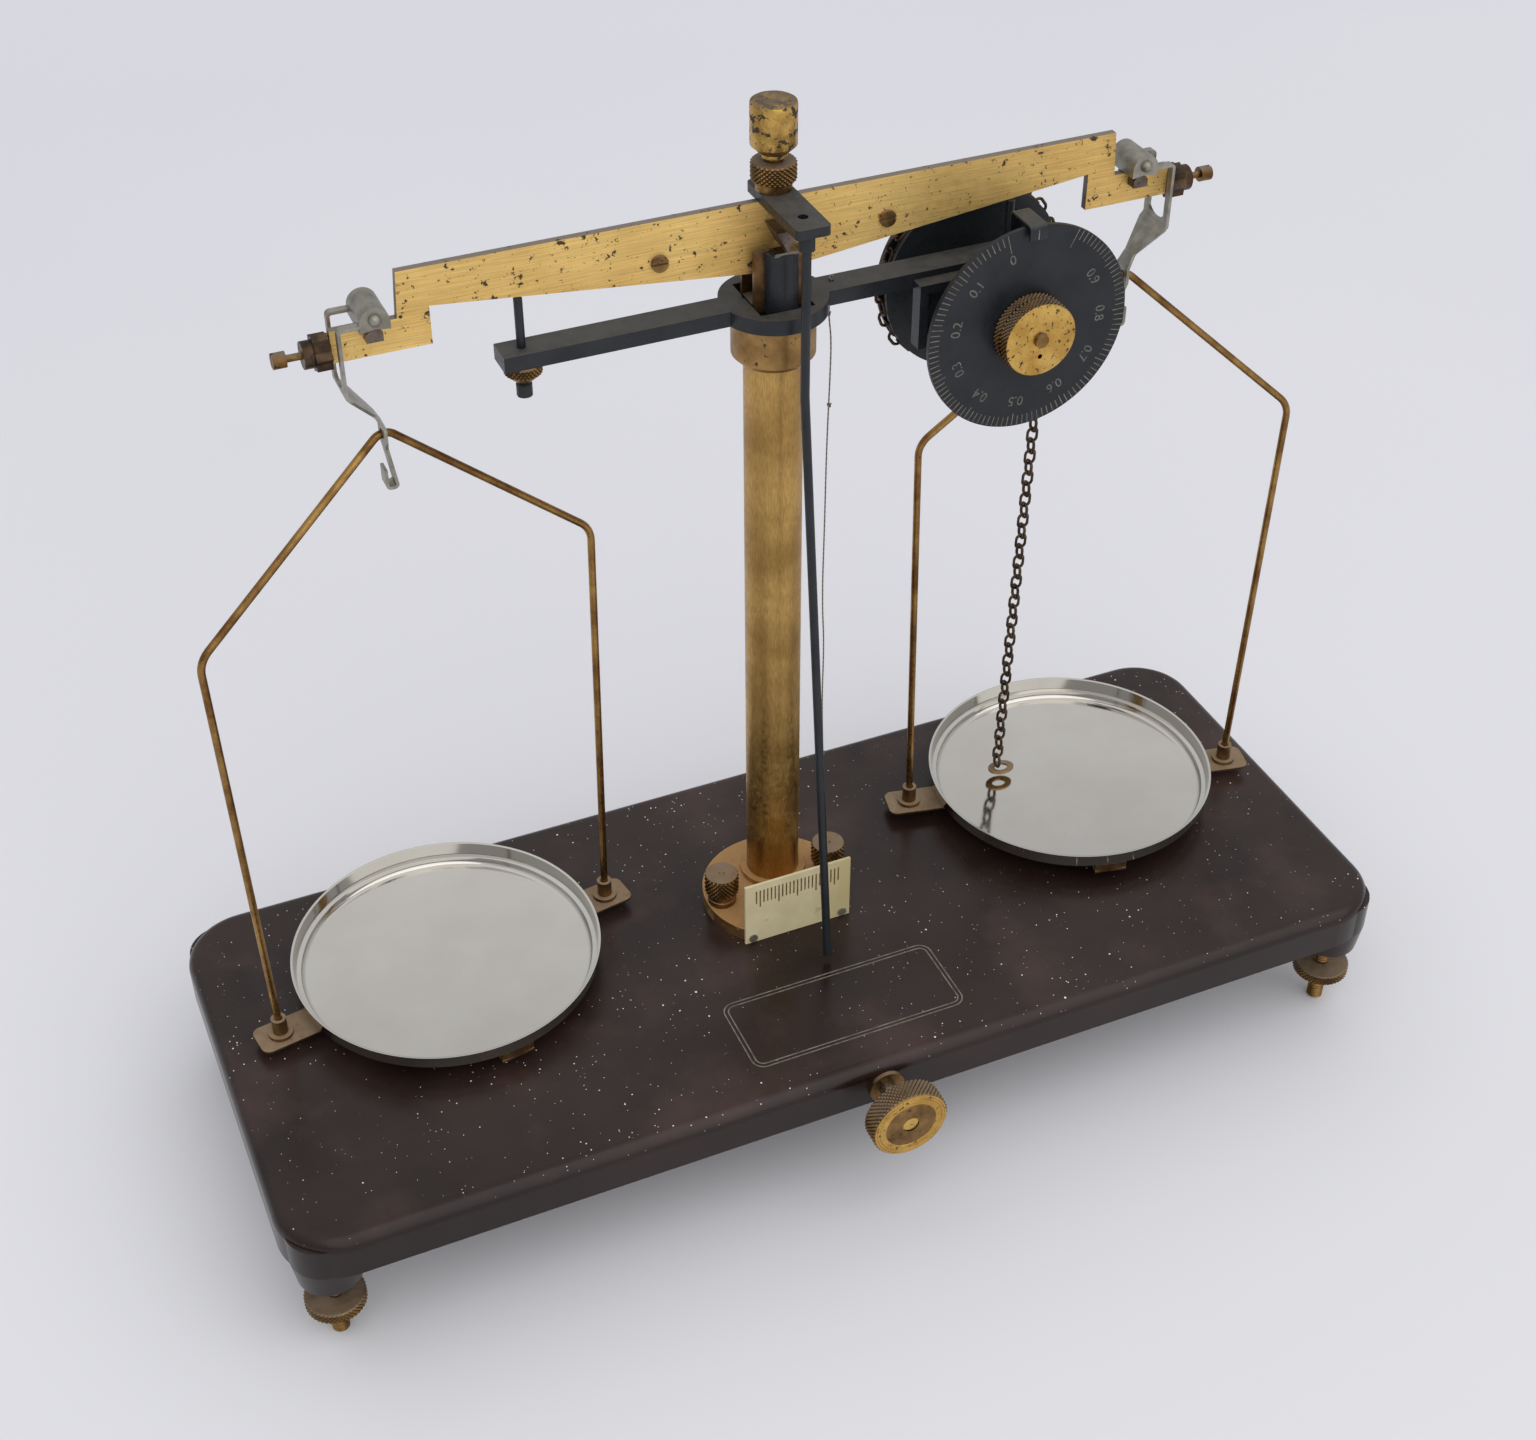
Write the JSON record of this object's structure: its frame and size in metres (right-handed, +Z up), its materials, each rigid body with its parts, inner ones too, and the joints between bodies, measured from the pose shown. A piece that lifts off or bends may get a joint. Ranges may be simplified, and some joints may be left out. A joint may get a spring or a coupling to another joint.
{
  "type": "chemical balance",
  "caption": "Two-pan laboratory balance: a swinging beam with bows and pans on a pillar, a chain dial at the right, and a moulded base with a release knob and levelling feet.",
  "frame": {"origin": "on the floor, under the middle of the object's whole box", "axes": "+X along the beam to the right as seen from the front, +Y to the back, +Z up"},
  "size_m": [0.4136, 0.1838, 0.3601],
  "materials": {
    "moulded_base": "satin phenolic moulding",
    "black_lacquer": "black lacquer",
    "beam_brass": "brushed, lacquered, spotted",
    "aged_brass": "tarnished",
    "bow_wire": "dull drawn wire",
    "chain_brass": "dark, tarnished",
    "steel": "ground",
    "nickel": "dull nickel",
    "mirror_nickel": "polished",
    "ivory": "yellowed",
    "thread": "twisted thread"
  },
  "bodies": {
    "root": {"base_moulding": "moulded_base", "rear_feet": "black_lacquer", "release_bearings": "aged_brass", "pillar_flange": "aged_brass", "thumb_nuts": "aged_brass", "scale_plate": "ivory", "scale_rivets": "nickel", "pillar_tube": "aged_brass", "pillar_collar": "aged_brass", "cross_arm": "black_lacquer", "stop_lock_nuts": "aged_brass", "dial_bracket": "black_lacquer", "index_tab": "black_lacquer", "chain": "chain_brass", "chain_clasp": "chain_brass", "plumb_thread": "thread", "thread_knots": "thread"},
    "foot_left": {"levelling_foot_left": "aged_brass"},
    "foot_right": {"levelling_foot_right": "aged_brass"},
    "release": {"release_shaft": "steel", "release_knob": "aged_brass"},
    "lift": {"lift_rod": "steel", "beam_fork": "aged_brass", "fork_posts": "black_lacquer", "knife_planes": "steel"},
    "beam": {"beam_plate": "beam_brass", "centre_knife": "steel", "end_knives": "steel", "beam_screws": "aged_brass", "end_screws": "aged_brass", "bridge_plate": "black_lacquer", "pointer": "black_lacquer", "bob_stud": "aged_brass", "bob_lock_nut": "aged_brass"},
    "gravity_bob": {"gravity_bob": "aged_brass"},
    "balance_nut_left": {"balance_nut_left": "aged_brass"},
    "balance_nut_right": {"balance_nut_right": "aged_brass"},
    "hanger_left": {"hanger_saddle_left": "nickel", "hanger_strap_left": "nickel"},
    "hanger_right": {"hanger_saddle_right": "nickel", "hanger_strap_right": "nickel"},
    "bow_left": {"bow_left": "bow_wire", "pan_support_left": "bow_wire", "pan_left": "mirror_nickel"},
    "bow_right": {"bow_right": "bow_wire", "pan_support_right": "bow_wire", "pan_right": "mirror_nickel"},
    "dial": {"dial_disc": "black_lacquer", "dial_knob": "aged_brass", "dial_spindle": "aged_brass", "chain_drum": "black_lacquer"},
    "stop_left": {"stop_screw_left": "black_lacquer"},
    "stop_right": {"stop_screw_right": "black_lacquer"}
  },
  "joints": [
    {"name": "foot_left_slide", "type": "slide", "parent": "root", "child": "foot_left", "axis": [0, 0, 1], "range_m": [-0.006, 0.004]},
    {"name": "foot_right_slide", "type": "slide", "parent": "root", "child": "foot_right", "axis": [0, 0, 1], "range_m": [-0.006, 0.004]},
    {"name": "release_turn", "type": "hinge", "parent": "root", "child": "release", "pos_m": [0, 0.03, 0.0472], "axis": [0, 1, 0], "range_deg": [0, 90]},
    {"name": "lift_slide", "type": "slide", "parent": "root", "child": "lift", "axis": [0, 0, -1], "range_m": [0, 0.001]},
    {"name": "beam_swing", "type": "hinge", "parent": "lift", "child": "beam", "pos_m": [0.00255, 0.03, 0.3162], "axis": [0, 1, 0], "range_deg": [-0.7, 0.7]},
    {"name": "gravity_bob_slide", "type": "slide", "parent": "beam", "child": "gravity_bob", "axis": [0, 0, 1], "range_m": [0, 0.006]},
    {"name": "balance_nut_left_slide", "type": "slide", "parent": "beam", "child": "balance_nut_left", "axis": [-1, 0, 0], "range_m": [0, 0.004]},
    {"name": "balance_nut_right_slide", "type": "slide", "parent": "beam", "child": "balance_nut_right", "axis": [1, 0, 0], "range_m": [0, 0.004]},
    {"name": "dial_turn", "type": "hinge", "parent": "root", "child": "dial", "pos_m": [0.07635, 0.03, 0.284], "axis": [0, 1, 0], "range_deg": [0, 350]},
    {"name": "stop_left_slide", "type": "slide", "parent": "root", "child": "stop_left", "axis": [0, 0, -1], "range_m": [0, 0.004]},
    {"name": "stop_right_slide", "type": "slide", "parent": "root", "child": "stop_right", "axis": [0, 0, -1], "range_m": [0, 0.004]},
    {"name": "hanger_left_swing", "type": "hinge", "parent": "beam", "child": "hanger_left", "pos_m": [-0.12245, 0.03, 0.3162], "axis": [0, -1, 0], "range_deg": [-1.5, 1.5]},
    {"name": "bow_left_swing", "type": "hinge", "parent": "hanger_left", "child": "bow_left", "pos_m": [-0.12245, 0.03, 0.2787], "axis": [0.9869, 0.1616, 0], "range_deg": [-1.2, 1.2]},
    {"name": "hanger_right_swing", "type": "hinge", "parent": "beam", "child": "hanger_right", "pos_m": [0.12755, 0.03, 0.3162], "axis": [0, -1, 0], "range_deg": [-1.5, 1.5]},
    {"name": "bow_right_swing", "type": "hinge", "parent": "hanger_right", "child": "bow_right", "pos_m": [0.12755, 0.03, 0.2787], "axis": [0.9781, -0.2079, 0], "range_deg": [-1.2, 1.2]}
  ],
  "couplings": [
    {"joint": "release_turn", "follows": "lift_slide", "rad_per_m": 1550}
  ]
}
